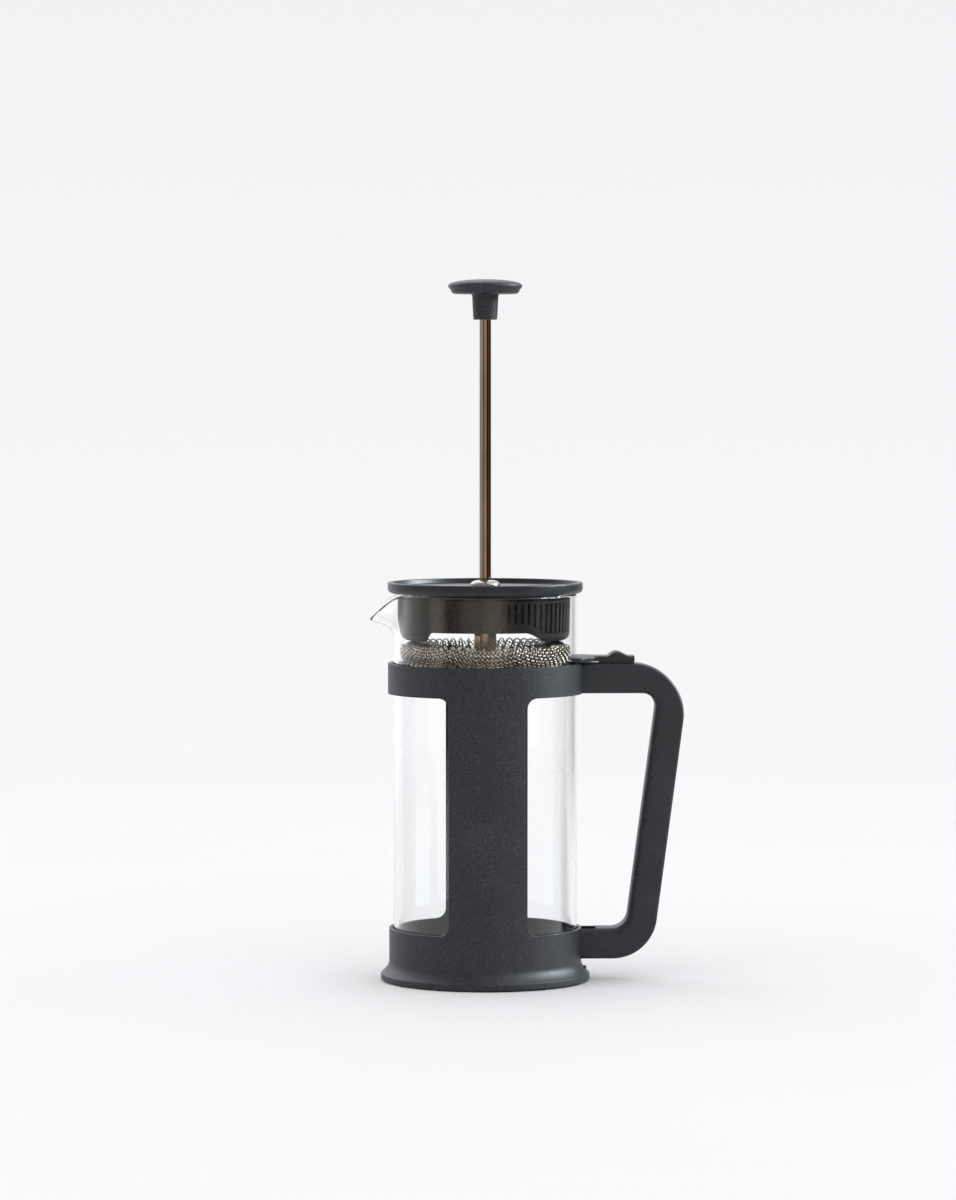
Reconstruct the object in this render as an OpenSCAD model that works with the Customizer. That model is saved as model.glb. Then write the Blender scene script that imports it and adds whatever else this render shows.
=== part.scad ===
// French press for about 0.35 l: a moulded cage with a handle and four feet, a glass beaker with
// a spout, a lid that turns to open or close the spout, and a plunger with a four-layer filter.
// Frame: Z is the beaker's axis, z = 0 is the table, +X points to the handle, -X to the spout.

/* [Beaker] */
// Outer diameter of the glass
glass_d = 70; // [68:0.5:72]
// Wall thickness of the glass
glass_wall = 1.6; // [1.2:0.1:2.2]
// Height of the glass rim above the table
glass_top = 147.7; // [147.3:0.1:147.8]
// Distance from the axis to the tip of the spout
spout_reach = 44; // [41:0.5:46]

/* [Cage] */
// Radial gap between the glass and the cage
glass_gap = 0.35; // [0.3:0.05:0.4]
// Top of the upper ring
ring_top = 121.2; // [120:0.1:121.4]
// Height of the upper ring
ring_h = 11.5; // [9:0.5:14]
// Top of the band round the base
band_top = 20.1; // [17:0.1:24]
// Outer diameter of the flared foot
flare_d = 79.8; // [78:0.2:84]
// Width of the front and back straps
strap_w = 29.6; // [20:0.2:36]
// Radius in the corners of the side windows
window_r = 3.8; // [2:0.2:6]

/* [Handle] */
// Width of the handle
handle_w = 12.6; // [10:0.2:15]
// Corner of the outer outline at the top, measured from the axis
handle_reach = 78.3; // [74:0.1:82]
// Corner of the outer outline at the bottom, measured from the axis
handle_foot = 63.4; // [59:0.1:66]
// Thickness of the grip
grip_t = 11.2; // [9:0.2:13]
// Radius of the grip's top outer corner
grip_top_r = 19.5; // [16:0.5:21]
// Radius of the grip's bottom outer corner
grip_low_r = 17; // [14:0.5:18]

/* [Lid] */
// Outer diameter of the lid
lid_d = 74.4; // [73:0.2:77]
// Height of the lid's edge
lid_h = 4.2; // [3.8:0.1:5]
// Depth of the recess in the lid's top
lid_recess = 1.9; // [1:0.1:2.1]
// Outer diameter of the skirt inside the glass
skirt_d = 64.8; // [63:0.2:65.4]
// Lower edge of the skirt at the front and back
skirt_z = 134; // [133:0.2:136]
// Lower edge of the two lobes, at the handle and at the spout
lobe_z = 130.2; // [130:0.1:132]
// Number of strainer slots
slot_count = 29; // [15:1:31]
// Width of a strainer slot
slot_w = 1.1; // [0.8:0.1:1.3]

/* [Plunger] */
// Diameter of the plunger rod
rod_d = 4.5; // [4:0.1:5]
// Top of the knob with the plunger raised
knob_top = 267.2; // [262:0.2:270]
// Largest diameter of the knob
knob_d = 28.4; // [24:0.2:34]
// Outer diameter of the mesh screen
screen_d = 65; // [63:0.1:65.6]
// Underside of the mesh screen with the plunger raised
screen_z = 120; // [119:0.1:120.4]
// Number of turns in the edge spring
coil_count = 54; // [36:2:60]

/* [Hidden] */
$fn = 96;
eps = 0.01;
far = 100;                                // past every outline, for cutters

plastic = "#34373b";
steel = "#b9b2a6";

// Cage
bore_r = glass_d / 2 + glass_gap;         // inside of the ring, straps and base
ring_r = bore_r + 1.75;
band_r = bore_r + 1.35;
ring_z = ring_top - ring_h;
frame_z = 0.4;                            // underside of the flare
ledge_z = 5;                              // the glass stands on this ledge
ledge_r = 25;                             // inner radius of the ledge
ledge_t = 2;
ledge_fillet = 2.5;                       // slope between the ledge and the wall
flare_r = flare_d / 2;
flare_top = 7.6;
flare_w = 5.4;                            // width of the flare's underside
rim_h = 2.5;                              // upright rim at the bottom of the flare
stub_r = 0.9;                             // small moulding stub on the flare
stub_l = 1.1;
foot_h = 1.3;
foot_r = 2.1;
foot_ring_r = flare_r - 3.1;
foot_angle_1 = -57.5;
tenon_w = 7;                              // tongue that locates the handle in the cage
tenon_h = 7;
tenon_depth = 1.1;

// Handle
arm_low_z = 8.4;                          // underside of the lower arm
grip_in_top_r = 5;                        // corners of the finger opening
grip_in_low_r = 6.5;
pocket_l = 6.4;                           // pocket in the top of the lower arm
pocket_rim = 1.4;
pocket_depth = 5;

// Glass catch
catch_z = ring_top + 0.8;
catch_t = 2;
catch_end = 56.7;
catch_nose_w = 25.4;                      // width of the nose against the glass
catch_nose_x = 36.5;                      // the nose narrows to the arm from here ...
catch_neck_x = 42;                        // ... to here
catch_w = 11.6;
catch_travel = 6;
catch_heel = 2.6;                         // length of the heel that slides on the arm
catch_stem_x = 45.5;                      // stem that slides in the slot of the handle
catch_stem_l = 4;
catch_stem_w = 4;
catch_slot_z = ring_top - 4.5;
catch_play = 0.3;
bump_x = 50.8;                            // thumb bump
bump_r = 6.8;
bump_h = 1.4;

// Glass
glass_z = ledge_z;
glass_r = glass_d / 2;
glass_in = glass_r - glass_wall;
glass_floor = 2.4;
glass_corner = 6;
spout_tip_z = glass_top - 9.7;            // middle of the curled tip
spout_tip_r = 1.7;
spout_root_w = 11;                        // half the width where the spout leaves the wall
spout_wall = 1.3;

// Lid, rod guide
lid_z = 147.9;                            // underside of the lid
lid_r = lid_d / 2;
lid_top = lid_z + lid_h;
lid_floor = lid_top - lid_recess;
lid_rim_w = 1.9;
skirt_r = skirt_d / 2;
skirt_wall = 1.5;
skirt_curl = 2.8;                         // the lobes curl inward at the bottom
skirt_top = lid_z - 1.8;                  // the skirt hangs clear of the lid from a collar
collar_r = 28;
collar_wall = 1.8;
skirt_flange = 1.4;
lobe_from = 13.7;                         // X where the S-curve at the handle side starts and ends
lobe_full = 23.3;
back_from = -20.4;                        // and at the spout side
back_full = -22.9;
slot_from = -76;                          // the slots run from here, front of the handle side,
slot_to = 57;                             // to here, behind it
slot_pitch = (slot_to - slot_from) / (slot_count - 1);
slot_top = lid_z - 3;
slot_foot = 3.4;                          // plastic left under the slots
lug_at = -115;                            // small lug on the front of the skirt
lug_w = 4.2;
lug_h = 2.3;
lug_z = 141.3;
lug_t = 0.35;
rod_r = rod_d / 2;
guide_bore = rod_r + 0.06;
guide_r = 5.7;
guide_top = lid_floor + 2.6;
shank_r = 3.7;
shank_hole = shank_r + 0.08;
washer_r = 6.5;
washer_h = 1.2;
washer_z = lid_z - 0.05 - washer_h;

// Knob and rod
stem_z = knob_top - 15.4;                 // underside of the knob's stem
disc_z = knob_top - 5.6;
knob_r = knob_d / 2;
insert_r = 3.3;
insert_h = 9;
thread_r = rod_r - 0.4;
thread_top = stem_z + 8;

// Filter
screen_r = screen_d / 2;
screen_t = 0.5;
screen_edge_r = 6;
screen_lip_r = 5;                         // the edge turns back in on this radius
screen_h = 8.4;
plate_z = screen_z + 5.1;                 // underside of the spiral plate
plate_t = 0.8;
plate_r = 26.2;
hole_r = 1.5;                             // flow holes, in three rows
row_r = 9.5;                              // radius of the first row
row_step = 5.2;
coil_r = 3.7;                             // mean radius of one turn
coil_wire = 0.35;
coil_ring_r = screen_r - screen_t - 0.1 - coil_wire - coil_r;
coil_z = plate_z + plate_t / 2;
hub_r = 4.3;
hub_top = washer_z - 0.25;
cross_r = 26.5;
cross_rim_r = 23.5;                       // openings run out to here
cross_hub_r = 8;
cross_t = 1;
cross_z = screen_z - cross_t;
pin_r = 2.0;                              // thinned lower end of the rod
nut_r = 5;
nut_h = 2.6;
nut_z = cross_z - nut_h;

function polar(r, a) = [r * cos(a), r * sin(a)];
function arc(c, r, from, to, n = 12) = [for (i = [0:n]) c + polar(r, from + (to - from) * i / n)];
// Outline with the corners p[i][0], p[i][1] rounded to the radius p[i][2]
function rounded(p, n = 14) = [
    for (i = [0:len(p) - 1])
        let (k = len(p), c = [p[i][0], p[i][1]],
             a = [p[(i + k - 1) % k][0], p[(i + k - 1) % k][1]] - c,
             b = [p[(i + 1) % k][0], p[(i + 1) % k][1]] - c,
             ua = a / norm(a), ub = b / norm(b), r = p[i][2])
        if (r == 0) c else
            let (half = acos(ua * ub) / 2, mid = (ua + ub) / norm(ua + ub),
                 o = c + mid * r / sin(half),
                 s = c + ua * r / tan(half) - o, e = c + ub * r / tan(half) - o,
                 as = atan2(s[1], s[0]), raw = atan2(e[1], e[0]) - as,
                 turn = raw > 180 ? raw - 360 : raw < -180 ? raw + 360 : raw)
            for (j = [0:n]) o + polar(r, as + turn * j / n)];

// Extrudes an outline drawn in X and Z to a width w across Y
module across(w) { rotate([90, 0, 0]) translate([0, 0, -w / 2]) linear_extrude(w) children(); }

module tube(r_out, r_in, z, h) {
    translate([0, 0, z]) difference() {
        cylinder(r = r_out, h = h);
        translate([0, 0, -eps]) cylinder(r = r_in, h = h + 2 * eps);
    }
}

// ---- Cage: upper ring, front and back straps, base band and flared foot in one moulding

// Outline of the cage's wall, with the concave flare and the ledge under the glass
module cage_section() {
    polygon(concat(
        [[bore_r, ring_top], [bore_r, ledge_z + ledge_fillet], [bore_r - ledge_fillet, ledge_z],
         [ledge_r, ledge_z], [ledge_r, ledge_z - ledge_t], [bore_r, ledge_z - ledge_t],
         [flare_r - flare_w, frame_z + 0.6], [flare_r - flare_w, frame_z], [flare_r - 0.5, frame_z],
         [flare_r, frame_z + 0.5], [flare_r, frame_z + rim_h - 0.3], [flare_r - 0.3, frame_z + rim_h]],
        [for (i = [0:10]) let (t = i / 10)
            [band_r + (flare_r - 0.3 - band_r) * pow(1 - t, 2),
             frame_z + rim_h + (flare_top - frame_z - rim_h) * t]],
        [[band_r, band_top], [ring_r, ring_z], [ring_r, ring_top]]));
}

// A side window, cut straight through from front to back
module window_cut() {
    across(far) polygon(rounded([[strap_w / 2, band_top, window_r], [far, band_top, 0],
                                 [far, ring_z, 0], [strap_w / 2, ring_z, window_r]]));
}

module tenons() {
    for (z = [ring_z + ring_h / 2, (band_top + arm_low_z) / 2])
        translate([bore_r + 0.6, -tenon_w / 2, z - tenon_h / 2])
            cube([tenon_depth + 3, tenon_w, tenon_h]);
}

module frame() color(plastic) difference() {
    union() {
        rotate_extrude($fn = 180) cage_section();
        // moulding stub, below the handle
        translate([flare_r - 1.3 - stub_l, 0, frame_z + 3.9]) rotate([0, 90, 0])
            cylinder(r = stub_r, h = stub_l, $fn = 24);
    }
    window_cut();
    mirror([1, 0, 0]) window_cut();
    tenons();
    for (i = [1:4]) foot_place(i) cylinder(r = foot_r, h = foot_h, $fn = 32);
}

// ---- Feet

module foot_place(i) {
    rotate(foot_angle_1 + 90 * (i - 1)) translate([foot_ring_r, 0, 0]) children();
}

module foot(i) color("#1c1d1f") foot_place(i) cylinder(r = foot_r, h = foot_h, $fn = 32);

// ---- Handle

module handle_outline() {
    lean = (handle_reach - handle_foot) / (ring_top - arm_low_z);
    grip_x = grip_t * sqrt(1 + lean * lean);
    function inner_x(z) = handle_foot + lean * (z - arm_low_z) - grip_x;
    polygon(rounded([
        [bore_r, ring_top, 0], [handle_reach, ring_top, grip_top_r],
        [handle_foot, arm_low_z, grip_low_r], [bore_r, arm_low_z, 0],
        [bore_r, band_top, 0], [inner_x(band_top), band_top, grip_in_low_r],
        [inner_x(ring_z), ring_z, grip_in_top_r], [bore_r, ring_z, 0]]));
}

module handle() color(plastic) {
    difference() {
        across(handle_w) handle_outline();
        // the arms end on the ring and on the band
        translate([0, 0, ring_z - 10]) cylinder(r = ring_r, h = ring_h + 20, $fn = 180);
        cylinder(r = band_r, h = band_top + 5, $fn = 180);
        // guide slot for the glass catch
        translate([catch_stem_x - catch_play, -catch_stem_w / 2 - catch_play, catch_slot_z])
            cube([catch_stem_l + catch_travel + 0.8, catch_stem_w + 2 * catch_play, ring_h]);
        translate([band_r - 1, -handle_w / 2 + pocket_rim, band_top - pocket_depth])
            cube([pocket_l, handle_w - 2 * pocket_rim, ring_h]);
    }
    intersection() {
        tenons();
        translate([0, 0, -eps]) cylinder(r = ring_r + 0.5, h = far + 50);
        translate([0, -tenon_w / 2, 0]) cube([ring_r + 0.2, tenon_w, ring_top]);
    }
}

// ---- Glass catch: a slide on the upper arm, whose nose keeps the glass from tilting out

module catch_outline() {
    half = catch_nose_w / 2;
    arm = catch_w / 2;
    polygon(rounded([[glass_r - 5, -half, 0], [catch_nose_x, -half, 2], [catch_neck_x, -arm, 5],
                     [catch_end, -arm, 1.5], [catch_end, arm, 1.5],
                     [catch_neck_x, arm, 5], [catch_nose_x, half, 2], [glass_r - 5, half, 0]]));
}

module glass_catch() color("#3c4045") {
    difference() {
        translate([0, 0, catch_z]) linear_extrude(catch_t) catch_outline();
        translate([0, 0, catch_z - 1]) cylinder(r = bore_r, h = catch_t + 2, $fn = 180);
    }
    across(catch_w - 1) translate([bump_x, catch_z + catch_t + bump_h - bump_r]) intersection() {
        circle(r = bump_r);
        translate([-bump_r, bump_r - bump_h - 0.4]) square([2 * bump_r, bump_r]);
    }
    // the heel and the stem
    translate([catch_end - catch_heel, -catch_w / 2 + 1, ring_top + 0.05]) cube([catch_heel, catch_w - 2, 1]);
    translate([catch_stem_x, -catch_stem_w / 2, catch_slot_z + 0.5])
        cube([catch_stem_l, catch_stem_w, catch_z - catch_slot_z - 0.1]);
}

// ---- Glass beaker

module glass_section() {
    rim = glass_wall / 2;
    polygon(concat(
        [[0, glass_z]],
        arc([glass_r - glass_corner, glass_z + glass_corner], glass_corner, -90, 0),
        arc([glass_r - rim, glass_top - rim], rim, 0, 180, 8),
        arc([glass_in - glass_corner + 1, glass_z + glass_floor + glass_corner - 1],
            glass_corner - 1, 0, -90),
        [[0, glass_z + glass_floor]]));
}

// Wedge from the wall out to the tip of the spout, thinner all round by t
module spout_wedge(t) {
    root = spout_root_w - t;
    root_z = spout_tip_z - 4 + t;
    top = glass_top + (t > 0 ? 3 : 0);
    hull() {
        translate([-glass_r + 2, -root, root_z]) cube([1, 2 * root, top - root_z]);
        translate([-spout_reach + spout_tip_r + t / 2, 0, spout_tip_z + t / 2])
            sphere(r = spout_tip_r - t / 2, $fn = 24);
        if (t > 0) translate([-spout_reach, -3, top - 1]) cube([4, 6, 1]);
    }
}

module glass_beaker() color("#dfeaea", 0.35) difference() {
    union() {
        rotate_extrude($fn = 180) glass_section();
        difference() {
            spout_wedge(0);
            cylinder(r = glass_r - glass_wall / 2, h = glass_top + 10, $fn = 180);
        }
    }
    intersection() {
        spout_wedge(spout_wall);
        translate([-far - glass_in + 6, -far / 2, 0]) cube([far, far, far * 2]);
    }
}

// ---- Lid

module lid_cover() color(plastic) rotate_extrude($fn = 180) polygon(concat(
    [[shank_hole, lid_floor], [shank_hole, lid_z]],
    arc([lid_r - 2, lid_z + 2], 2, -90, 0, 8),
    arc([lid_r - 0.5, lid_top - 0.5], 0.5, 0, 90, 4),
    [[lid_r - lid_rim_w, lid_top], [lid_r - lid_rim_w - 0.4, lid_floor]]));

// Lower edge of the skirt against X: straight, with an S-curve down to each lobe
function ease(t) = t <= 0 ? 0 : t >= 1 ? 1 : (1 - cos(180 * t)) / 2;
function edge_z(x) = skirt_z - (skirt_z - lobe_z + eps)
    * (x > 0 ? ease((x - lobe_from) / (lobe_full - lobe_from))
             : ease((x - back_from) / (back_full - back_from)));

module skirt_section() {
    in_r = skirt_r - skirt_wall;
    polygon(concat(
        [[skirt_r, skirt_top], [collar_r, skirt_top], [collar_r, lid_z], [collar_r - collar_wall, lid_z],
         [collar_r - collar_wall, skirt_top - skirt_flange], [in_r - 0.2, skirt_top - skirt_flange]],
        [[in_r - 0.3, lobe_z + skirt_curl]],
        arc([skirt_r - 0.3 - skirt_curl, lobe_z + skirt_curl], skirt_curl - skirt_wall, 0, -90, 6),
        arc([skirt_r - 0.3 - skirt_curl, lobe_z + skirt_curl], skirt_curl, -90, 0, 8)));
}

module lid_strainer() color(plastic) difference() {
    union() {
        rotate_extrude($fn = 180) skirt_section();
        rotate(lug_at) translate([skirt_r - skirt_wall / 2, -lug_w / 2, lug_z])
            cube([skirt_wall / 2 + lug_t, lug_w, lug_h]);
    }
    across(far) polygon(concat(
        [for (i = [0:12]) let (x = back_full + (back_from - back_full) * i / 12) [x, edge_z(x)]],
        [for (i = [0:16]) let (x = lobe_from + (lobe_full - lobe_from) * i / 16) [x, edge_z(x)]],
        [[lobe_full, lobe_z - 5], [back_full, lobe_z - 5]]));
    for (i = [0:slot_count - 1])
        let (a = slot_from + i * slot_pitch, z = edge_z(skirt_r * cos(a)) + slot_foot)
            rotate(a) translate([skirt_r - 4, -slot_w / 2, z]) cube([6, slot_w, slot_top - z]);
}

// ---- Rod guide: domed bush through the lid, and the washer pushed on from below

module rod_guide() color(steel) rotate_extrude() polygon(concat(
    [[guide_bore, washer_z], [shank_r, washer_z], [shank_r, lid_floor + 0.05],
     [guide_r, lid_floor + 0.05], [guide_r, lid_floor + 0.9]],
    [for (i = [0:8]) let (a = 90 * i / 8)
        [rod_r + 0.9 + (guide_r - rod_r - 0.9) * cos(a),
         lid_floor + 0.9 + (guide_top - lid_floor - 0.9) * sin(a)]],
    [[guide_bore, guide_top - 0.3]]));

module guide_washer() color(steel) tube(washer_r, shank_r, washer_z, washer_h);

// ---- Knob, its threaded insert and the rod

module knob() color(plastic) difference() {
    low_r = knob_r - 1.15;
    rotate_extrude($fn = 128) polygon(concat(
        [[0, stem_z], [4.1, stem_z], [4.55, stem_z + 0.45], [5.05, disc_z]],
        arc([low_r - 1.6, disc_z + 1.6], 1.6, -90, 0, 8),
        [[knob_r, knob_top - 2.45], [knob_r - 0.25, knob_top - 2.1]],
        [for (i = [1:12]) let (t = 1 - i / 12) [(knob_r - 0.25) * t, knob_top - 2.1 * t * t]]));
    translate([0, 0, stem_z - eps]) cylinder(r = insert_r, h = insert_h + eps);
}

module knob_insert() color("#b08d4a") tube(insert_r, thread_r, stem_z, insert_h);

module plunger_rod() color(steel) {
    translate([0, 0, plate_z + plate_t]) cylinder(r = rod_r, h = stem_z - plate_z - plate_t);
    translate([0, 0, stem_z - eps]) cylinder(r = thread_r, h = thread_top - stem_z);
    translate([0, 0, nut_z + 0.3]) cylinder(r = pin_r, h = plate_z + plate_t - nut_z);
}

// ---- Filter: hub, spiral plate with its edge spring, mesh screen, cross plate and nut

module filter_hub() color(steel) difference() {
    tube(hub_r, rod_r, plate_z + plate_t, hub_top - plate_z - plate_t);
    tube(hub_r + 1, hub_r - 0.4, hub_top - 0.4, 1);
}

module spiral_plate() color(steel) difference() {
    tube(plate_r, pin_r, plate_z, plate_t);
    // rows of flow holes, and the holes that the edge spring is threaded through
    for (row = [0:2], k = [0:8 + 6 * row - 1])
        rotate(k * 360 / (8 + 6 * row)) translate([row_r + row_step * row, 0, plate_z - eps])
            cylinder(r = hole_r, h = plate_t + 2 * eps, $fn = 24);
    for (k = [0:coil_count - 1])
        rotate(k * 360 / coil_count) translate([coil_ring_r - coil_r, 0, plate_z - eps])
            cylinder(r = coil_wire + 0.2, h = plate_t + 2 * eps, $fn = 16);
}

// Each turn of the coil stands as a closed ring through its hole in the plate
module edge_spring() color(steel) for (k = [0:coil_count - 1])
    rotate(k * 360 / coil_count) translate([coil_ring_r, 0, coil_z]) rotate([90, 0, 0])
        rotate_extrude($fn = 32) translate([coil_r, 0]) circle(r = coil_wire, $fn = 16);

// Thin dish with a rolled edge that turns back in over the spring
module mesh_screen() color("#8d8072") {
    c = [screen_r - screen_edge_r, screen_z + screen_edge_r];
    lip_c = [screen_r - screen_lip_r, screen_z + screen_edge_r];
    lip_to = asin((screen_h - screen_edge_r) / screen_lip_r);
    rotate_extrude($fn = 144) polygon(concat(
        [[pin_r, screen_z]], arc(c, screen_edge_r, -90, 0), arc(lip_c, screen_lip_r, 0, lip_to, 6),
        arc(lip_c, screen_lip_r - screen_t, lip_to, 0, 6), arc(c, screen_edge_r - screen_t, 0, -90),
        [[pin_r, screen_z + screen_t]]));
}

module cross_plate() color(steel) difference() {
    tube(cross_r, pin_r, cross_z, cross_t);
    // four openings leave a rim, a hub and a cross
    for (k = [0:3]) rotate(45 + 90 * k) translate([0, 0, cross_z - eps]) linear_extrude(cross_t + 2 * eps)
        polygon(concat(arc([0, 0], cross_rim_r, -35, 35, 14), arc([0, 0], cross_hub_r, 22, -22, 6)));
}

module retaining_nut() color(steel) difference() {
    translate([0, 0, nut_z]) cylinder(r = nut_r, h = nut_h, $fn = 6);
    translate([0, 0, nut_z - eps]) cylinder(r = pin_r, h = nut_h + 2 * eps);
}

frame();
handle();
foot(1);  // foot_1
foot(2);  // foot_2
foot(3);  // foot_3
foot(4);  // foot_4
glass_catch();
glass_beaker();
lid_cover();
lid_strainer();
rod_guide();
guide_washer();
knob();
knob_insert();
plunger_rod();
filter_hub();
spiral_plate();
edge_spring();
mesh_screen();
cross_plate();
retaining_nut();
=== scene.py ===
import functools
import math

import bmesh
import bpy
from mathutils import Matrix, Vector


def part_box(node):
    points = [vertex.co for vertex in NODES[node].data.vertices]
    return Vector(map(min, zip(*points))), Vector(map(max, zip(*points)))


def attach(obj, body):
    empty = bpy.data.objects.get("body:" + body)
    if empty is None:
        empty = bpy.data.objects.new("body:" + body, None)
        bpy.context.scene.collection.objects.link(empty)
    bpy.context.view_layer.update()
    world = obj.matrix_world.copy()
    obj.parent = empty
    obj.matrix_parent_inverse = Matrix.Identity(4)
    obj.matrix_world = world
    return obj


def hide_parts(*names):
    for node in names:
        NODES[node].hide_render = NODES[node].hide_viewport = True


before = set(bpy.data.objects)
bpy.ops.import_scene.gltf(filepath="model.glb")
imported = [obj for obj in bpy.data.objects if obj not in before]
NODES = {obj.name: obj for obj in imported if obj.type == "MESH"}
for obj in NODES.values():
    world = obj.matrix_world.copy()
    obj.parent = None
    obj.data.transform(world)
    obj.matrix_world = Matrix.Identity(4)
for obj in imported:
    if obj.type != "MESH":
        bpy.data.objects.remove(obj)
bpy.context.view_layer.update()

MM = 0.001


# ---------------------------------------------------------------- sizes taken from the frame

@functools.cache
def low(node):
    """Lowest corner of a CAD node, in millimetres."""
    return tuple(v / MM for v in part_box(node)[0])


@functools.cache
def high(node):
    """Highest corner of a CAD node, in millimetres."""
    return tuple(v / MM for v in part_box(node)[1])


GLASS_R = high("glass_beaker")[1]
GLASS_WALL = 1.6
GLASS_FLOOR = 2.4
GLASS_Z = low("glass_beaker")[2]
GLASS_TOP = high("glass_beaker")[2]
SPOUT_REACH = -low("glass_beaker")[0]
RING_TOP = high("frame")[2]
HANDLE_TOP = high("handle")[2]
HANDLE_LOW = low("handle")[2]
HANDLE_HALF_W = high("handle")[1]
HANDLE_REACH = 78.3          # corners of the outer outline, before they are rounded
HANDLE_FOOT = 63.4
GRIP_T = 11.2
RING_H = 11.5
BAND_TOP = 20.1              # top of the base band, and of the lower arm
CATCH_GAP = 0.8              # between the upper arm and the catch's plate
LID_WELL = 1.9               # depth of the lid's floor under its rim


# ---------------------------------------------------------------- mesh helpers

def link(name, mesh):
    """A new object in the scene."""
    obj = bpy.data.objects.new(name, mesh)
    bpy.context.scene.collection.objects.link(obj)
    return obj


def smooth(mesh, sharp=32):
    """Smooth shading, with edges sharper than that many degrees kept sharp."""
    mesh.polygons.foreach_set("use_smooth", [True] * len(mesh.polygons))
    mesh.set_sharp_from_angle(angle=math.radians(sharp))


def mesh_piece(name, verts, faces, sharp=32):
    """A piece from points in millimetres. Doubled points are merged; normals face outwards."""
    mesh = bpy.data.meshes.new(name)
    mesh.from_pydata([Vector(v) * MM for v in verts], [], faces)
    tidy(mesh)
    smooth(mesh, sharp)
    return link(name, mesh)


def tidy(mesh):
    """Merges doubled points and turns the faces outwards."""
    bm = bmesh.new()
    bm.from_mesh(mesh)
    bmesh.ops.remove_doubles(bm, verts=bm.verts, dist=1e-6)
    bmesh.ops.recalc_face_normals(bm, faces=bm.faces)
    bm.to_mesh(mesh)
    bm.free()


def grid_faces(rows, cols, close_rows=False, close_cols=False):
    """Quads between rows x cols points stored row by row."""
    faces = []
    for i in range(rows if close_rows else rows - 1):
        for j in range(cols if close_cols else cols - 1):
            a, b = i, (i + 1) % rows
            c, d = j, (j + 1) % cols
            faces.append([a * cols + c, a * cols + d, b * cols + d, b * cols + c])
    return faces


def capped_faces(rows, cols):
    """Quads round a row of closed sections of cols points, with a face over each end."""
    last = (rows - 1) * cols
    return grid_faces(rows, cols, False, True) + [list(range(cols)), list(range(last, last + cols))]


def arc(centre, radius, start, end, steps=8):
    """Points on an arc between two angles in degrees."""
    angles = [math.radians(start + (end - start) * i / steps) for i in range(steps + 1)]
    return [(centre[0] + radius * math.cos(a), centre[1] + radius * math.sin(a)) for a in angles]


def quarter_turn(steps=14):
    """Angles from 0 to a right angle, in radians."""
    return [math.pi / 2 * k / steps for k in range(steps + 1)]


def rounded(corners, steps=6):
    """A closed outline whose corners (x, y, radius) are rounded."""
    points = []
    count = len(corners)
    for i, (x, y, radius) in enumerate(corners):
        here = Vector((x, y))
        if radius == 0:
            points.append((x, y))
            continue
        back = (Vector(corners[i - 1][:2]) - here).normalized()
        ahead = (Vector(corners[(i + 1) % count][:2]) - here).normalized()
        half = back.angle(ahead) / 2
        centre = here + (back + ahead).normalized() * radius / math.sin(half)
        first = here + back * radius / math.tan(half) - centre
        turn = first.angle_signed(here + ahead * radius / math.tan(half) - centre)
        for k in range(steps + 1):
            a = -turn * k / steps
            points.append((centre.x + first.x * math.cos(a) - first.y * math.sin(a),
                           centre.y + first.x * math.sin(a) + first.y * math.cos(a)))
    return points


def lathe(name, outline, turns=128, closed=True, sharp=32):
    """Turns an outline of (radius, height) points about Z."""
    verts = []
    for i in range(turns):
        a = 2 * math.pi * i / turns
        verts += [(r * math.cos(a), r * math.sin(a), z) for r, z in outline]
    return mesh_piece(name, verts, grid_faces(turns, len(outline), True, closed), sharp)


def tube_along(points, radius, sides=6, closed=False):
    """Points and faces of a round tube along points, with rings that don't twist."""
    count = len(points)
    path = [Vector(p) for p in points]
    verts = []
    normal = None
    for i, p in enumerate(path):
        ahead = path[(i + 1) % count] if closed or i < count - 1 else p
        behind = path[i - 1] if closed or i > 0 else p
        tangent = (ahead - behind).normalized()
        if normal is None:
            normal = tangent.orthogonal()
        normal = (normal - tangent * normal.dot(tangent)).normalized()
        side = tangent.cross(normal)
        for k in range(sides):
            a = 2 * math.pi * k / sides
            verts.append(p + (normal * math.cos(a) + side * math.sin(a)) * radius)
    return verts, grid_faces(count, sides, closed, True)


def join_parts(name, parts, sharp=32):
    """One piece from several lists of points and faces."""
    verts, faces = [], []
    for part_verts, part_faces in parts:
        shift = len(verts)
        verts += part_verts
        faces += [[i + shift for i in face] for face in part_faces]
    return mesh_piece(name, verts, faces, sharp)


def cut(piece, lowest, highest):
    """Cuts a box out of a piece, in millimetres."""
    mesh = bpy.data.meshes.new("cutter")
    bm = bmesh.new()
    bmesh.ops.create_cube(bm, size=1)
    for v in bm.verts:
        v.co = Vector([(a + b) / 2 + (b - a) * c for a, b, c in zip(lowest, highest, v.co)]) * MM
    bm.to_mesh(mesh)
    bm.free()
    cutter = link("cutter", mesh)
    modifier = piece.modifiers.new("cut", "BOOLEAN")
    modifier.operation = "DIFFERENCE"
    modifier.object = cutter
    apply_modifiers(piece)
    bpy.data.objects.remove(cutter)
    smooth(piece.data)


def apply_modifiers(piece):
    """Keeps the shape that the modifiers give, and drops them."""
    graph = bpy.context.evaluated_depsgraph_get()
    graph.update()
    mesh = bpy.data.meshes.new_from_object(piece.evaluated_get(graph))
    piece.modifiers.clear()
    piece.data = mesh


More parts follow.
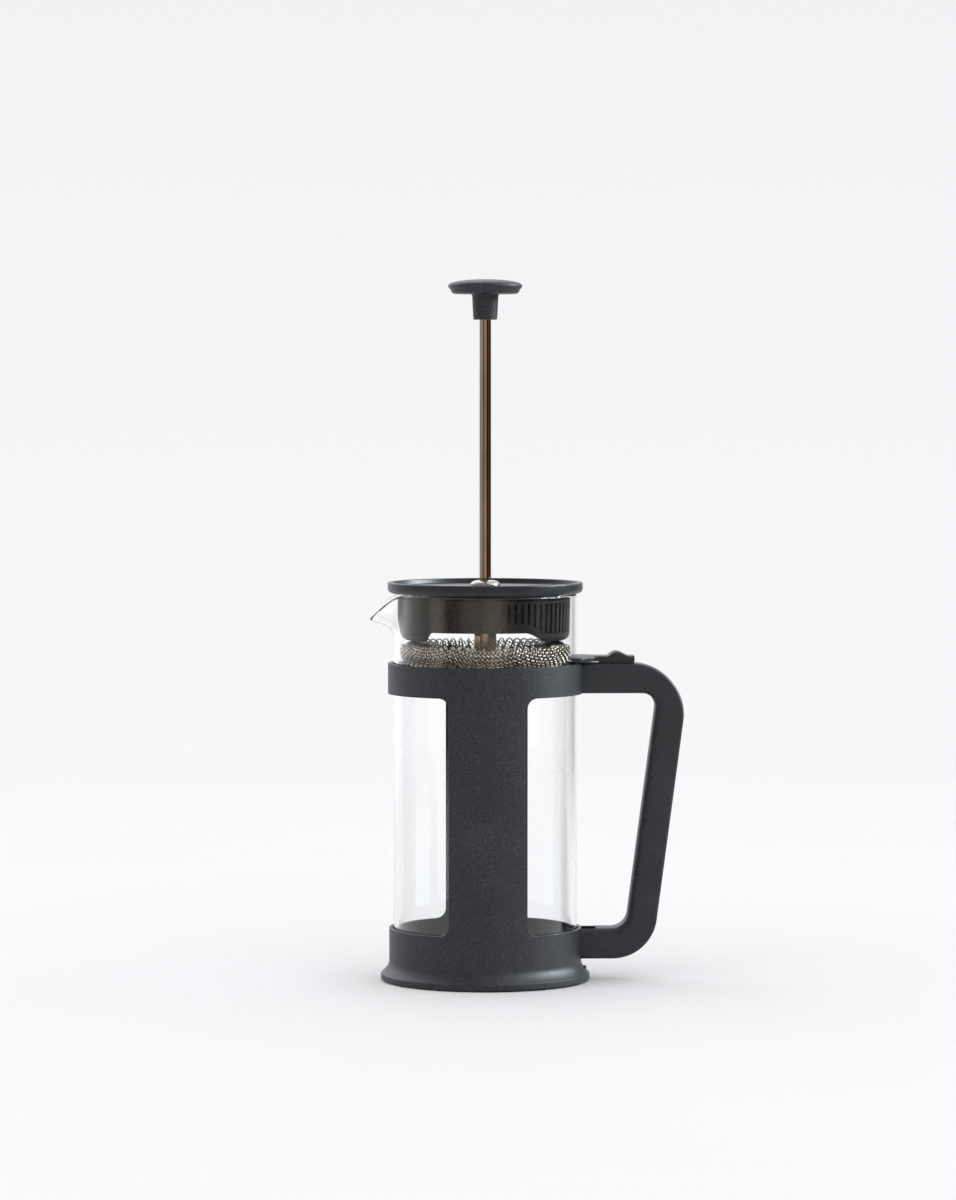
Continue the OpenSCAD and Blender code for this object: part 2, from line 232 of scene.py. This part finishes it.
def soften(node, width, angle=35, segments=2):
    """Rounds a CAD node's edges. Flat faces are merged first, so that the edges bevel cleanly."""
    obj = NODES[node]
    flatten = obj.modifiers.new("merge flat faces", "DECIMATE")
    flatten.decimate_type = "DISSOLVE"
    flatten.angle_limit = math.radians(0.4)
    bevel = obj.modifiers.new("round edges", "BEVEL")
    bevel.limit_method = "ANGLE"
    bevel.angle_limit = math.radians(angle)
    bevel.width = width * MM
    bevel.segments = segments
    bevel.harden_normals = False
    return obj


def put(piece, body, nodes, material):
    """Rides a new piece on its body, for the CAD nodes that it stands for."""
    piece.data.materials.clear()
    piece.data.materials.append(material)
    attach(piece, body)
    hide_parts(*nodes)


def paint(node, material):
    """Gives a CAD node its finish."""
    obj = NODES[node]
    if not obj.material_slots:
        obj.data.materials.append(material)
    for slot in obj.material_slots:
        slot.link = "OBJECT"
        slot.material = material


# ---------------------------------------------------------------- materials

def set_stops(ramp, stops):
    """Fills a colour ramp from (place, colour) stops."""
    while len(ramp.elements) < len(stops):
        ramp.elements.new(0.5)
    for element, (place, colour) in zip(ramp.elements, stops):
        element.position = place
        element.color = (*colour, 1)


def scaled(colour, factor):
    """A brighter or darker tone of a colour."""
    return [min(1, c * factor) for c in colour]


class Finish:
    """A node material: a Principled shader, and what feeds it, in the object's own coordinates."""

    def __init__(self, name, **values):
        self.material = bpy.data.materials.new(name)
        self.material.use_nodes = True
        self.tree = self.material.node_tree
        self.shader = self.tree.nodes["Principled BSDF"]
        for key, value in values.items():
            self.shader.inputs[key.replace("_", " ")].default_value = value
        self.place = self.tree.nodes.new("ShaderNodeTexCoord").outputs["Object"]

    def new(self, kind, **values):
        node = self.tree.nodes.new("ShaderNode" + kind)
        for key, value in values.items():
            setattr(node, key, value)
        return node

    def wire(self, out, into):
        self.tree.links.new(out, into)

    def stretched(self, scale):
        """The object's coordinates, scaled along each axis."""
        mapping = self.new("Mapping")
        mapping.inputs["Scale"].default_value = scale
        self.wire(self.place, mapping.inputs["Vector"])
        return mapping.outputs["Vector"]

    def noise(self, grain, detail=3, place=None):
        """Noise whose features are about grain millimetres across."""
        node = self.new("TexNoise")
        node.inputs["Scale"].default_value = 1 / (grain * MM)
        node.inputs["Detail"].default_value = detail
        self.wire(place or self.place, node.inputs["Vector"])
        return node.outputs["Fac"]

    def between(self, factor, low_value, high_value, from_min=0.3, from_max=0.7):
        """A number that follows a factor from one value to another."""
        node = self.new("MapRange")
        for key, value in (("From Min", from_min), ("From Max", from_max),
                           ("To Min", low_value), ("To Max", high_value)):
            node.inputs[key].default_value = value
        self.wire(factor, node.inputs["Value"])
        return node.outputs["Result"]

    def mix(self, share, first, second):
        """A blend of two numbers, with a constant share of the second."""
        node = self.new("Mix", data_type="FLOAT")
        node.inputs[0].default_value = share
        self.wire(first, node.inputs[2])
        self.wire(second, node.inputs[3])
        return node.outputs[0]

    def colours(self, factor, *stops):
        """A ramp of (place, colour) stops."""
        node = self.new("ValToRGB")
        set_stops(node.color_ramp, stops)
        self.wire(factor, node.inputs["Fac"])
        return node.outputs["Color"]

    def bump(self, height, depth, strength=1.0):
        """Relief of depth millimetres."""
        node = self.new("Bump")
        node.inputs["Strength"].default_value = strength
        node.inputs["Distance"].default_value = depth * MM
        self.wire(height, node.inputs["Height"])
        self.wire(node.outputs["Normal"], self.shader.inputs["Normal"])

    def colour(self, socket):
        self.wire(socket, self.shader.inputs["Base Color"])

    def roughness(self, socket):
        self.wire(socket, self.shader.inputs["Roughness"])


def plastic(name, colour, rough=0.5, grain=0.42, depth=0.08, level=0.45):
    """Dark moulded plastic: a spark-eroded grain and faint clouding, with pale specks on the grain
    that are painted glints.
    """
    finish = Finish(name, Specular_IOR_Level=level)
    spark = finish.noise(grain, 4)
    cloud = finish.noise(14, 2)
    # the grain and clouding are the plastic's own texture; the two brightest stops paint pale
    # specks on it as painted glints
    finish.colour(finish.colours(finish.mix(0.88, cloud, spark),
                                 (0.34, scaled(colour, 0.3)), (0.5, colour),
                                 (0.58, scaled(colour, 1.9)), (0.7, scaled(colour, 4))))
    finish.roughness(finish.between(spark, rough - 0.1, rough + 0.1))
    finish.bump(spark, depth)
    return finish.material


def polished(name, colour, rough=0.1, streak=0.05):
    """Drawn and polished metal: long marks along Z, and a slow change of tone along its length."""
    finish = Finish(name, Metallic=1.0)
    marks = finish.noise(0.35, 3, finish.stretched((1, 1, 0.004)))
    tone = finish.noise(30, 3, finish.stretched((4, 4, 1)))
    finish.colour(finish.colours(finish.mix(0.6, tone, marks), (0.35, scaled(colour, 0.55)),
                                 (0.5, colour), (0.66, scaled(colour, 1.35))))
    finish.roughness(finish.between(tone, rough, rough + streak))
    finish.bump(marks, 0.002, 0.3)
    return finish.material


def stamped(name, colour, rough=0.3):
    """Stamped or drawn steel with a soft, uneven sheen."""
    finish = Finish(name, Metallic=1.0)
    patch = finish.noise(3, 4)
    fine = finish.noise(0.25, 3)
    finish.colour(finish.colours(patch, (0.3, scaled(colour, 0.8)), (0.7, scaled(colour, 1.12))))
    finish.roughness(finish.between(fine, rough - 0.08, rough + 0.1))
    finish.bump(fine, 0.006, 0.6)
    return finish.material


def clear_glass(name):
    """Clear glass with a very faint tint and ripple."""
    finish = Finish(name, Transmission_Weight=1.0, IOR=1.47, Roughness=0.0)
    ripple = finish.noise(30, 1)
    finish.colour(finish.colours(ripple, (0.3, (0.972, 0.985, 0.98)), (0.7, (0.988, 0.995, 0.993))))
    finish.bump(ripple, 0.01, 0.3)
    return finish.material


def woven(name, bright, dull):
    """Fine stainless wire with coffee-brown tarnish along it. The caller gives the tones: a
    brightened copy with painted highlight for one set of wires, and a darkened copy with painted
    shade for the other.
    """
    finish = Finish(name, Metallic=1.0)
    tarnish = finish.noise(1.6, 3)
    finish.colour(finish.colours(tarnish, (0.38, dull), (0.55, bright)))
    finish.roughness(finish.between(tarnish, 0.3, 0.16))
    finish.bump(finish.noise(0.2, 2), 0.004, 0.4)
    return finish.material


def rubber(name):
    """Matt black rubber."""
    finish = Finish(name, Specular_IOR_Level=0.3)
    fine = finish.noise(0.3, 3)
    finish.colour(finish.colours(fine, (0.3, (0.008, 0.008, 0.009)), (0.7, (0.02, 0.02, 0.021))))
    finish.roughness(finish.between(fine, 0.7, 0.9))
    finish.bump(fine, 0.01)
    return finish.material


def pale_floor(name, fade_from, fade_to):
    """Matt off-white that fades away between two distances from the middle, in metres."""
    finish = Finish(name, Specular_IOR_Level=0.1)
    finish.colour(finish.colours(finish.noise(300, 1), (0.3, (0.885, 0.885, 0.893)),
                                 (0.7, (0.9, 0.9, 0.908))))
    finish.roughness(finish.between(finish.noise(2, 2), 0.75, 0.85))
    away = finish.new("VectorMath", operation="LENGTH")
    finish.wire(finish.place, away.inputs[0])
    fade = finish.between(away.outputs["Value"], 1, 0, fade_from, fade_to)
    finish.wire(fade, finish.shader.inputs["Alpha"])
    return finish.material


# ---------------------------------------------------------------- camera and light

def make_camera():
    """A long lens a little above the lid, aimed slightly left of the beaker's axis."""
    distance, height, azimuth = 1.76, 0.227, math.radians(-1.8)
    aim_left, aim_height = 2.75 * MM, 145.2 * MM
    right = Vector((math.cos(azimuth), math.sin(azimuth), 0))
    data = bpy.data.cameras.new("camera")
    data.lens = 138.7
    data.sensor_width = 36
    data.clip_start = 0.05
    camera = bpy.data.objects.new("camera", data)
    bpy.context.scene.collection.objects.link(camera)
    camera.location = (distance * math.sin(azimuth), -distance * math.cos(azimuth), height)
    camera.location -= right * aim_left
    target = Vector((0, 0, aim_height)) - right * aim_left
    camera.rotation_euler = (target - camera.location).to_track_quat("-Z", "Y").to_euler()
    bpy.context.scene.camera = camera


def make_world():
    """White behind the object; soft light from above; reflections see soft boxes and dark flags."""
    world = bpy.data.worlds.new("studio")
    bpy.context.scene.world = world
    world.use_nodes = True
    tree = world.node_tree
    tree.nodes.clear()

    def new(kind, **values):
        node = tree.nodes.new("ShaderNode" + kind)
        for key, value in values.items():
            setattr(node, key, value)
        return node

    def background(colour, strength=1.0):
        node = new("Background")
        node.inputs["Color"].default_value = (*colour, 1)
        node.inputs["Strength"].default_value = strength
        return node

    def choose(which, otherwise, when):
        node = new("MixShader")
        tree.links.new(which, node.inputs["Fac"])
        tree.links.new(otherwise.outputs[0], node.inputs[1])
        tree.links.new(when.outputs[0], node.inputs[2])
        return node

    def compute(operation, first, second):
        """A Math node, whose second input is a socket or a number."""
        node = new("Math", operation=operation)
        tree.links.new(first, node.inputs[0])
        if isinstance(second, (int, float)):
            node.inputs[1].default_value = second
        else:
            tree.links.new(second, node.inputs[1])
        return node.outputs[0]

    def remap(value, **limits):
        node = new("MapRange")
        for key, limit in limits.items():
            node.inputs[key.replace("_", " ")].default_value = limit
        tree.links.new(value, node.inputs["Value"])
        return node.outputs["Result"]

    light_path = new("LightPath")
    fill = background((1, 1, 1.01), 1.07)
    split = new("SeparateXYZ")
    tree.links.new(new("TexCoord").outputs["Generated"], split.inputs[0])
    white = background((1, 1, 1.015))
    fade = remap(split.outputs["Z"], From_Min=-0.1, From_Max=0.09, To_Min=0.945, To_Max=0.88)
    tree.links.new(fade, white.inputs["Strength"])
    bearing = compute("ARCTAN2", split.outputs["Y"], split.outputs["X"])
    turn = remap(bearing, From_Min=-math.pi, From_Max=math.pi)
    # bearing 0 is -X, 0.25 is the camera's side, 0.5 is +X and 0.75 is behind the object
    level = [(0.0, (0.5, 0.47, 0.43)), (0.025, (0.35, 0.32, 0.28)), (0.05, (0.85, 0.79, 0.71)),
             (0.08, (0.8, 0.73, 0.64)), (0.11, (0.12, 0.1, 0.08)), (0.15, (0.2, 0.17, 0.14)),
             (0.18, (0.5, 0.44, 0.36)), (0.225, (0.5, 0.43, 0.34)), (0.27, (0.75, 0.65, 0.52)),
             (0.3, (0.6, 0.5, 0.4)), (0.33, (0.16, 0.13, 0.1)), (0.36, (0.03, 0.025, 0.02)),
             (0.4, (0.03, 0.025, 0.02)), (0.445, (0.2, 0.19, 0.18)), (0.49, (0.04, 0.04, 0.04)),
             (0.55, (0.05, 0.05, 0.052)), (0.62, (0.16, 0.16, 0.165)), (0.72, (1.1, 1.1, 1.12)),
             (0.88, (1.1, 1.12, 1.16)), (0.95, (0.6, 0.6, 0.6)), (1.0, (0.5, 0.47, 0.43))]
    upper = [(0.0, (0.5, 0.52, 0.57)), (0.1, (0.6, 0.6, 0.62)), (0.3, (0.5, 0.5, 0.52)),
             (0.4, (1.5, 1.55, 1.65)), (0.46, (2.0, 2.1, 2.3)), (0.57, (1.8, 1.9, 2.0)),
             (0.62, (1.2, 1.25, 1.3)), (0.75, (1.8, 1.8, 1.85)), (0.84, (2.8, 2.95, 3.2)),
             (0.9, (2.0, 2.1, 2.3)), (1.0, (0.5, 0.52, 0.57))]

    def ramp(stops):
        node = new("ValToRGB")
        set_stops(node.color_ramp, stops)
        tree.links.new(turn, node.inputs["Fac"])
        return node.outputs["Color"]

    blend = new("Mix", data_type="RGBA")
    tree.links.new(remap(split.outputs["Z"], From_Min=0.1, From_Max=0.38), blend.inputs[0])
    tree.links.new(ramp(level), blend.inputs[6])
    tree.links.new(ramp(upper), blend.inputs[7])
    studio = background((1, 1, 1))
    tree.links.new(blend.outputs[2], studio.inputs["Color"])
    # light that comes back through the glass from the camera's side sees the dark studio too
    back = compute("LESS_THAN", split.outputs["Y"], -0.05)
    through = compute("MULTIPLY", back, light_path.outputs["Is Transmission Ray"])
    mirror = compute("MAXIMUM", through, light_path.outputs["Is Glossy Ray"])
    lit = choose(light_path.outputs["Is Diffuse Ray"], white, fill)
    seen = choose(mirror, lit, studio)
    tree.links.new(seen.outputs[0], new("OutputWorld").inputs["Surface"])


def soft_light(name, place, aim, size, power, colour):
    """A soft box of size metres, aimed at a point, which only adds highlights."""
    data = bpy.data.lights.new(name, "AREA")
    data.shape = "RECTANGLE"
    data.size, data.size_y = size
    data.energy = power
    data.color = colour
    light = bpy.data.objects.new(name, data)
    bpy.context.scene.collection.objects.link(light)
    light.location = place
    light.rotation_euler = (Vector(aim) - light.location).to_track_quat("-Z", "Y").to_euler()
    light.visible_camera = False
    light.visible_diffuse = False


def make_floor():
    """A pale disc that fades into the white behind it."""
    radius, sides = 1.2, 96
    mesh = bpy.data.meshes.new("floor")
    angles = [2 * math.pi * k / sides for k in range(sides)]
    ring = [(radius * math.cos(a), radius * math.sin(a), 0) for a in angles]
    mesh.from_pydata(ring, [], [list(range(sides))])
    floor = link("floor", mesh)
    mesh.materials.append(pale_floor("pale floor", 0.45, 1.15))


# ---------------------------------------------------------------- glass beaker

SPOUT_HALF_ANGLE = 27        # degrees on each side of -X
SPOUT_START_Z = GLASS_TOP - 16.5
SPOUT_TIP_Z = GLASS_TOP - 9.6
GLASS_MIDDLE_R = GLASS_R - GLASS_WALL / 2


def spout_profile(t):
    """Middle of the wall at the centre of the spout, from the wall (t = 0) to the lip (t = 1)."""
    lip = 0.5
    reach = SPOUT_REACH - 0.85 - GLASS_MIDDLE_R
    out = reach * (t ** 1.9)
    rise = (SPOUT_TIP_Z - lip - SPOUT_START_Z) * (1 - (1 - t) ** 1.7)
    return GLASS_MIDDLE_R + out, SPOUT_START_Z + rise + lip * max(0, t - 0.85) / 0.15


def glass_point(angle, height):
    """Middle of the wall at an angle from +X, for a height along the undeformed wall."""
    away = abs(abs(math.degrees(angle)) - 180)
    radius, z = GLASS_MIDDLE_R, height
    if height > SPOUT_START_Z and away < SPOUT_HALF_ANGLE:
        weight = (1 + math.cos(math.pi * away / SPOUT_HALF_ANGLE)) / 2
        t = min(1.0, (height - SPOUT_START_Z) / (GLASS_TOP - GLASS_WALL / 2 - SPOUT_START_Z))
        out, up = spout_profile(t)
        radius = GLASS_MIDDLE_R + (out - GLASS_MIDDLE_R) * weight ** 1.15
        z = height + (up - height) * weight ** 1.5
    return Vector((radius * math.cos(angle), radius * math.sin(angle), z))


def make_glass():
    turns, heights = 240, 46
    corner = 6.0
    dome_r, rest_r = GLASS_R * 0.4, GLASS_R * 0.66      # the floor rises inside its resting ring
    floor_z = GLASS_Z + GLASS_FLOOR
    wall_from = GLASS_Z + corner
    wall_to = GLASS_TOP - GLASS_WALL / 2
    # closer rows towards the spout
    levels = [wall_from + (wall_to - wall_from) * (1 - (1 - k / heights) ** 2)
              for k in range(heights + 1)]
    verts = []
    step = 0.01
    for i in range(turns):
        a = -math.pi + 2 * math.pi * i / turns
        outer, inner = [], []
        for level in levels:
            here = glass_point(a, level)
            along = glass_point(a, level + step) - glass_point(a, level - step)
            round_ = glass_point(a + step / 20, level) - glass_point(a - step / 20, level)
            normal = round_.cross(along).normalized()
            outer.append(here + normal * GLASS_WALL / 2)
            inner.append(here - normal * GLASS_WALL / 2)
        tip = glass_point(a, wall_to)
        up = (glass_point(a, wall_to) - glass_point(a, wall_to - 0.2)).normalized()
        out = (outer[-1] - tip).normalized()
        bead = [tip + (out * math.cos(b) + up * math.sin(b)) * GLASS_WALL / 2
                for b in [math.pi * k / 8 for k in range(1, 8)]]

        def base(points):
            return [Vector((r * math.cos(a), r * math.sin(a), z)) for r, z in points]

        outside = base([(0, GLASS_Z + 0.9), (dome_r, GLASS_Z + 0.7), (rest_r, GLASS_Z + 0.15)]
                       + arc((GLASS_R - corner, GLASS_Z + corner), corner, -90, -6, 8))
        bend = arc((GLASS_R - corner - 0.2, floor_z + corner - 1.8), corner - 1.4, -6, -90, 8)
        inside = base(bend + [(rest_r, floor_z + 0.1), (dome_r, floor_z + 0.5), (0, floor_z + 0.7)])
        verts += outside + outer + bead + inner[::-1] + inside
    cols = len(verts) // turns
    piece = mesh_piece("beaker", verts, grid_faces(turns, cols, True, False), 60)
    put(piece, "beaker", ["glass_beaker"], clear_glass("clear glass"))


# ---------------------------------------------------------------- cage, handle, catch

def make_frame(material):
    soften("frame", 0.35, 30, 3)
    paint("frame", material)


def handle_rings():
    """Points of the handle: cross-sections between its outer and its inner outline."""
    top, foot = HANDLE_TOP, HANDLE_LOW
    arm_under, arm_over = top - RING_H, BAND_TOP
    lean = (HANDLE_REACH - HANDLE_FOOT) / (top - foot)
    grip = GRIP_T * math.hypot(1, lean)
    start = GLASS_R + 1.0
    outer = [(start, top, 0), (HANDLE_REACH, top, 19.5), (HANDLE_FOOT, foot, 17), (start, foot, 0)]
    inner = [(start, arm_under, 0), (HANDLE_FOOT + lean * (arm_under - foot) - grip, arm_under, 5),
             (HANDLE_FOOT + lean * (arm_over - foot) - grip, arm_over, 6.5), (start, arm_over, 0)]
    steps = 20

    def resample(corners):
        line = rounded(corners, steps)
        first, rest = line[0], line[1:]
        bend_a, bend_b, last = rest[:steps + 1], rest[steps + 1:-1], rest[-1]

        def straight(p, q, n):
            return [(p[0] + (q[0] - p[0]) * k / n, p[1] + (q[1] - p[1]) * k / n) for k in range(n)]

        return (straight(first, bend_a[0], 8) + bend_a[:-1] + straight(bend_a[-1], bend_b[0], 14)
                + bend_b[:-1] + straight(bend_b[-1], last, 8) + [last])

    return list(zip(resample(outer), resample(inner)))


def make_handle(material):
    verts = []
    inner_edge, outer_edge = 2.6, 1.1
    notch_wall, stem_slot_half = 1.4, 2.3
    w = HANDLE_HALF_W
    pairs = handle_rings()
    for (ox, oz), (ix, iz) in pairs:
        outer, inner = Vector((ox, 0, oz)), Vector((ix, 0, iz))
        across = (outer - inner).normalized()
        thick = (outer - inner).length
        section = rounded([(0, -w, inner_edge), (thick, -w, outer_edge),
                           (thick, w, outer_edge), (0, w, inner_edge)], 6)
        verts += [inner + across * d + Vector((0, y, 0)) for d, y in section]
    piece = mesh_piece("handle_loop", verts, capped_faces(len(pairs), len(section)), 50)
    # the notch in the lower arm beside the base band, and the slot that the catch slides in
    cut(piece, (30, -w + notch_wall, BAND_TOP - 5), (42.1, w - notch_wall, BAND_TOP + 1.9))
    cut(piece, (45.2, -stem_slot_half, RING_TOP - 4.5), (56.3, stem_slot_half, RING_TOP + 2))
    put(piece, "holder", ["handle"], material)


def make_catch(material):
    """A plate that narrows from its nose to the arm, with a bump for the thumb."""
    bottom, thick = RING_TOP + CATCH_GAP, 2.0
    start, end = 32.5, high("glass_catch")[0]
    nose_half, arm_half = high("glass_catch")[1], 5.8
    nose_r = GLASS_R + 0.35
    bump_from, bump_l, bump_h = 46.6, 8.0, 1.75
    stem_half = 2
    stations = 48
    verts = []
    for i in range(stations + 1):
        u = i / stations
        x = start + (end - start) * u
        spread = min(1, max(0, (x - start - 2) / 8.0))
        half = nose_half + (arm_half - nose_half) * (1 - math.cos(math.pi * spread)) / 2
        swell = (x - bump_from) / bump_l
        rise = bump_h * math.sin(math.pi * swell ** 0.8) ** 1.4 if 0 < swell < 1 else 0.0
        taper = 0.5 * (1 - min(1, u / 0.35)) ** 2
        height, edge = thick + rise - taper, 0.7 + rise * 0.25
        section = rounded([(-half, 0, 0.35), (half, 0, 0.35), (half, height, edge),
                           (-half, height, edge)], 4)
        # the plate's edges follow the glass's round; its front between them stays flat
        pull = (1 - min(1, u / 0.4)) ** 2
        verts += [(x + (math.sqrt(nose_r ** 2 - y * y) - start) * pull, y, bottom + z)
                  for y, z in section]
    plate = (verts, capped_faces(stations + 1, len(section)))

    def block(lowest, highest, radius=0.3):
        outline = rounded([(lowest[0], lowest[1], radius), (highest[0], lowest[1], radius),
                           (highest[0], highest[1], radius), (lowest[0], highest[1], radius)], 3)
        points = [(x, y, z) for z in (lowest[2], highest[2]) for x, y in outline]
        return points, capped_faces(2, len(outline))

    heel_half, into_plate = arm_half - 0.5, bottom + 0.5
    heel = block((43.5, -heel_half, RING_TOP + 0.08), (end - 0.1, heel_half, into_plate))
    stem = block((45.5, -stem_half, RING_TOP - 4), (49.5, stem_half, into_plate))
    piece = join_parts("thumb_catch", [plate, heel, stem], 40)
    put(piece, "catch", ["glass_catch"], material)


# ---------------------------------------------------------------- lid

def make_lid(material):
    z, top = low("lid_cover")[2], high("lid_cover")[2]
    r = high("lid_cover")[0]
    floor = top - LID_WELL
    hole, rim_w = 3.78, 1.9
    outline = rounded([(hole, z, 0), (r, z, 1.9), (r, top, 0.55), (r - rim_w, top, 0.45),
                       (r - rim_w - 0.4, floor, 0.5), (hole, floor, 0)], 8)
    piece = lathe("lid_disc", outline, 192, sharp=40)
    put(piece, "lid", ["lid_cover"], material)


def make_strainer(material):
    soften("lid_strainer", 0.18, 40, 2)
    paint("lid_strainer", material)


def make_guide(material):
    z, top = low("rod_guide")[2], high("rod_guide")[2]
    r = high("rod_guide")[0]
    seat = high("lid_cover")[2] - LID_WELL + 0.05
    bore, shank = 2.31, 3.7
    mouth, edge_z = bore + 0.35, seat + 0.7
    dome = [(mouth + (r - mouth) * math.cos(a), edge_z + (top - edge_z) * math.sin(a))
            for a in quarter_turn()]
    outline = [(bore, z), (shank, z), (shank, seat), (r - 0.2, seat), (r, seat + 0.25)] + dome
    outline += [(bore + 0.1, top - 0.1), (bore, top - 0.35)]
    piece = lathe("rod_bush", outline, 96, sharp=45)
    put(piece, "guide", ["rod_guide"], material)


# ---------------------------------------------------------------- plunger

def make_knob(material):
    z, top, r = low("knob")[2], high("knob")[2], high("knob")[0]
    disc = top - 5.6
    insert_r, insert_h = 3.3, 9.0
    stem = [(insert_r, z), (4.1, z), (4.55, z + 0.3), (4.62, z + 0.8), (5.0, disc - 0.9),
            (5.15, disc - 0.35), (5.7, disc)]
    underside = arc((r - 2.8, disc + 1.7), 1.7, -90, -8, 8)
    edge = [(r - 0.05, top - 2.75), (r, top - 2.5), (r - 0.08, top - 2.28)]
    crown = [((r - 0.3) * math.cos(a), top - 2.1 + 2.1 * math.sin(a)) for a in quarter_turn()]
    outline = [(0, z + insert_h), (insert_r, z + insert_h)] + stem + underside + edge + crown
    piece = lathe("knob_cap", outline, 128, closed=False, sharp=35)
    put(piece, "plunger", ["knob"], material)


def make_coil(material):
    """One continuous coil round the rim of the filter."""
    box_low, box_high = low("edge_spring"), high("edge_spring")
    wire = 0.33
    turn_r = (box_high[2] - box_low[2]) / 2 - wire
    centre_z = (box_high[2] + box_low[2]) / 2
    ring_r = box_high[0] - wire - turn_r
    turns, steps = 54, 24
    points = []
    for i in range(turns * steps):
        a = 2 * math.pi * i / (turns * steps)
        b = 2 * math.pi * i / steps
        r = ring_r + turn_r * math.cos(b)
        points.append((r * math.cos(a), r * math.sin(a), centre_z + turn_r * math.sin(b)))
    verts, faces = tube_along(points, wire, 6, True)
    piece = mesh_piece("coil_spring", verts, faces, 80)
    put(piece, "plunger", ["edge_spring"], material)


SCREEN_EDGE_R = 6.0


def screen_surface(s):
    """Radius, height and outward tilt of the screen at an arc length s from its centre."""
    r_out, z = high("mesh_screen")[0], low("mesh_screen")[2]
    inset = 0.3
    edge, lip_r = SCREEN_EDGE_R, 5.0
    flat = r_out - edge
    if s <= flat:
        return s, z + inset, 0.0
    bend = (s - flat) / edge
    if bend <= math.pi / 2:
        r = edge - inset
        return flat + r * math.sin(bend), z + edge - r * math.cos(bend), bend
    lip = (bend - math.pi / 2) * edge / lip_r
    r = lip_r - inset
    return r_out - lip_r + r * math.cos(lip), z + edge + r * math.sin(lip), math.pi / 2 + lip


def make_screen(name, direction, material):
    """One of the two sets of wires that pass over and under each other, draped over the dish."""
    pitch, wire = 1.25, 0.2
    hub_r, lip_l = 2.2, 2.4
    reach = high("mesh_screen")[0] - SCREEN_EDGE_R + SCREEN_EDGE_R * math.pi / 2 + lip_l
    count = int(reach / pitch)
    parts = []
    for k in range(-count, count + 1):
        offset = k * pitch
        half = math.sqrt(max(0, reach ** 2 - offset ** 2))
        steps = int(half / (pitch / 2))
        points = []
        for j in range(-steps, steps + 1):
            along = j * pitch / 2
            u, v = (along, offset) if direction == 0 else (offset, along)
            u, v = (u - v) * math.sqrt(0.5), (u + v) * math.sqrt(0.5)
            s = math.hypot(u, v)
            if s < hub_r:
                continue
            r, z, tilt = screen_surface(s)
            wave = wire * 0.9 * math.cos(math.pi * (j / 2 + k + direction))
            r += wave * math.sin(tilt)
            z -= wave * math.cos(tilt)
            points.append((r * u / s, r * v / s, z))
        if len(points) > 2:
            parts.append(tube_along(points, wire, 5))
    piece = join_parts(name, parts, 90)
    put(piece, "plunger", ["mesh_screen"], material)


# ---------------------------------------------------------------- scene

def main():
    bpy.context.scene.view_settings.view_transform = "Standard"
    make_camera()
    make_world()
    make_floor()
    soft_light("right box", place=(1.36, 0.1, 0.75), aim=(0, 0, 0.1), size=(0.8, 0.5), power=46,
               colour=(0.8, 0.92, 1))

    slate = plastic("slate plastic", (0.0125, 0.0145, 0.0178))
    lid_slate = plastic("lid plastic", (0.008, 0.0098, 0.0125), 0.38, 0.42, 0.03, 0.4)
    skirt_slate = plastic("skirt plastic", (0.017, 0.0163, 0.0155), 0.45, 0.5, 0.02, 0.24)
    knob_slate = plastic("knob plastic", (0.0105, 0.012, 0.015), 0.48, 0.5, 0.07)
    catch_slate = plastic("catch plastic", (0.014, 0.0145, 0.015), 0.45, 0.4, 0.02, 0.35)
    rod_steel = polished("rod steel", (0.37, 0.29, 0.22), 0.05, 0.03)
    steel = polished("polished steel", (0.28, 0.275, 0.26), 0.12)
    sheet_steel = stamped("stamped steel", (0.52, 0.49, 0.45))
    wire_steel = stamped("spring wire", (0.45, 0.41, 0.36), 0.25)
    # both sets of screen wires are the same steel: the warp gets a brightened copy as painted
    # highlight, and the weft a darkened copy as painted shade for the wires that lie deeper
    lit_warp_wire = woven("warp wire painted highlight", (1, 0.93, 0.8), (0.6, 0.5, 0.38))
    shaded_weft_wire = woven("weft wire painted shade", (0.1, 0.072, 0.045), (0.035, 0.024, 0.015))
    brass = stamped("turned brass", (0.7, 0.5, 0.2), 0.22)
    foot_rubber = rubber("black rubber")

    make_frame(slate)
    make_handle(slate)
    make_catch(catch_slate)
    make_glass()
    make_lid(lid_slate)
    make_strainer(skirt_slate)
    make_guide(steel)
    make_knob(knob_slate)
    make_coil(wire_steel)
    make_screen("screen_warp", 0, lit_warp_wire)
    make_screen("screen_weft", 1, shaded_weft_wire)
    for node in ("plunger_rod", "filter_hub"):
        soften(node, 0.12)
        paint(node, rod_steel)
    for node in ("guide_washer", "spiral_plate", "cross_plate", "retaining_nut"):
        soften(node, 0.12)
        paint(node, sheet_steel)
    paint("knob_insert", brass)
    for k in range(1, 5):
        soften(f"foot_{k}", 0.25)
        paint(f"foot_{k}", foot_rubber)


main()
